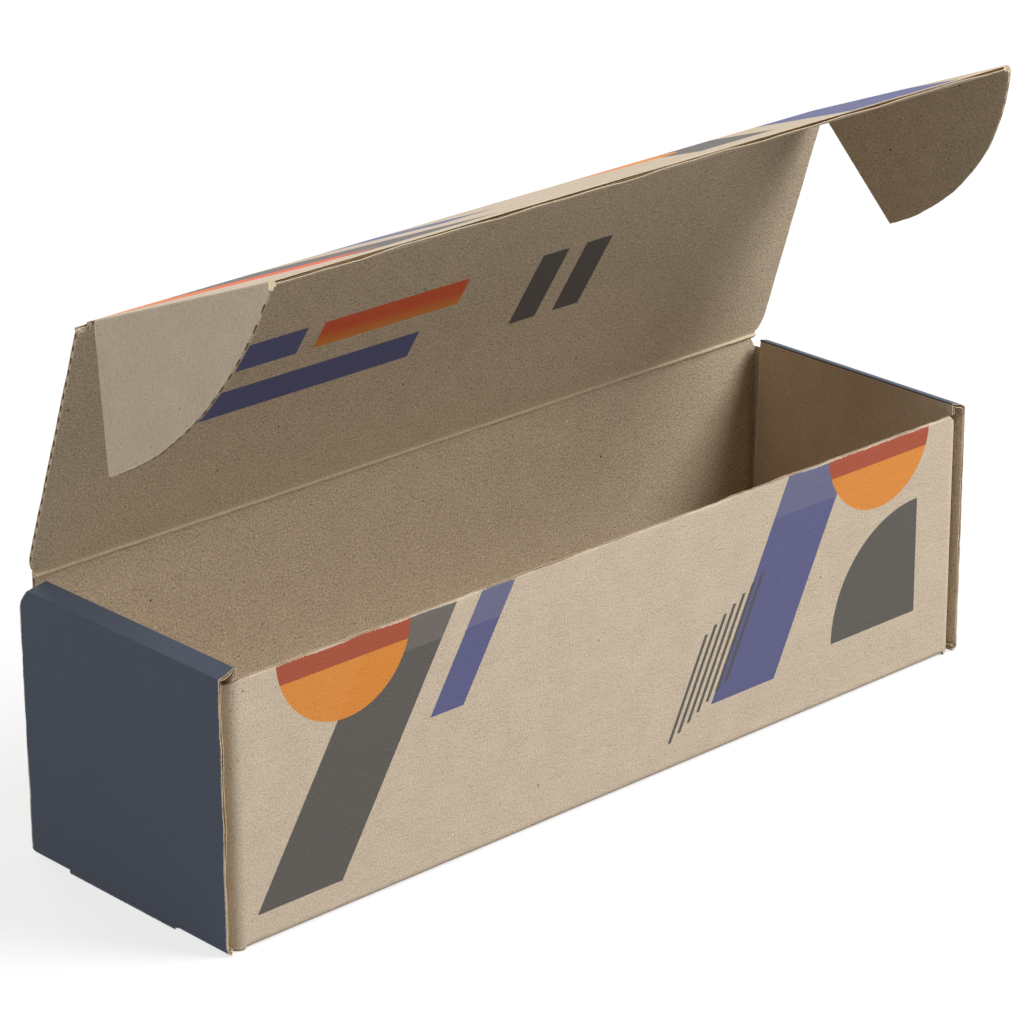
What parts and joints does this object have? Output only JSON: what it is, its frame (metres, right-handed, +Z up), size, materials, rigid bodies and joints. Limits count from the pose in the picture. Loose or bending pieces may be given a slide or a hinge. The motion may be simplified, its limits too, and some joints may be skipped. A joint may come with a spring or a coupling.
{
  "type": "bottle gift box",
  "caption": "Long fluted-board gift box for one bottle: roll-over end walls, a hinged lid with a tuck flap and rounded ears, shown open.",
  "frame": {"origin": "middle of the tray's underside", "axes": "+X along the box, +Y from the front wall to the hinge, +Z up"},
  "size_m": [0.3442, 0.117, 0.2178],
  "materials": {
    "kraft_board": "matte"
  },
  "bodies": {
    "tray": {"tray": "kraft_board"},
    "lid": {"lid": "kraft_board"},
    "tuck_flap": {"tuck_flap": "kraft_board"},
    "left_ear": {"left_ear": "kraft_board"},
    "right_ear": {"right_ear": "kraft_board"}
  },
  "joints": [
    {"name": "lid_hinge", "type": "hinge", "parent": "tray", "child": "lid", "pos_m": [0, 0.0476, 0.0951], "axis": [-1, 0, 0], "range_deg": [-25.3, 108.7]},
    {"name": "tuck_flap_hinge", "type": "hinge", "parent": "lid", "child": "tuck_flap", "pos_m": [0, 0.01775, 0.18329], "axis": [1, 0, 0], "range_deg": [-49.8, 40.2]},
    {"name": "left_ear_hinge", "type": "hinge", "parent": "tuck_flap", "child": "left_ear", "pos_m": [-0.15775, 0.01775, 0.18329], "axis": [0, -0.9304, 0.3665], "range_deg": [-75, 15]},
    {"name": "right_ear_hinge", "type": "hinge", "parent": "tuck_flap", "child": "right_ear", "pos_m": [0.15775, 0.01775, 0.18329], "axis": [0, 0.9304, -0.3665], "range_deg": [-71, 19]}
  ]
}
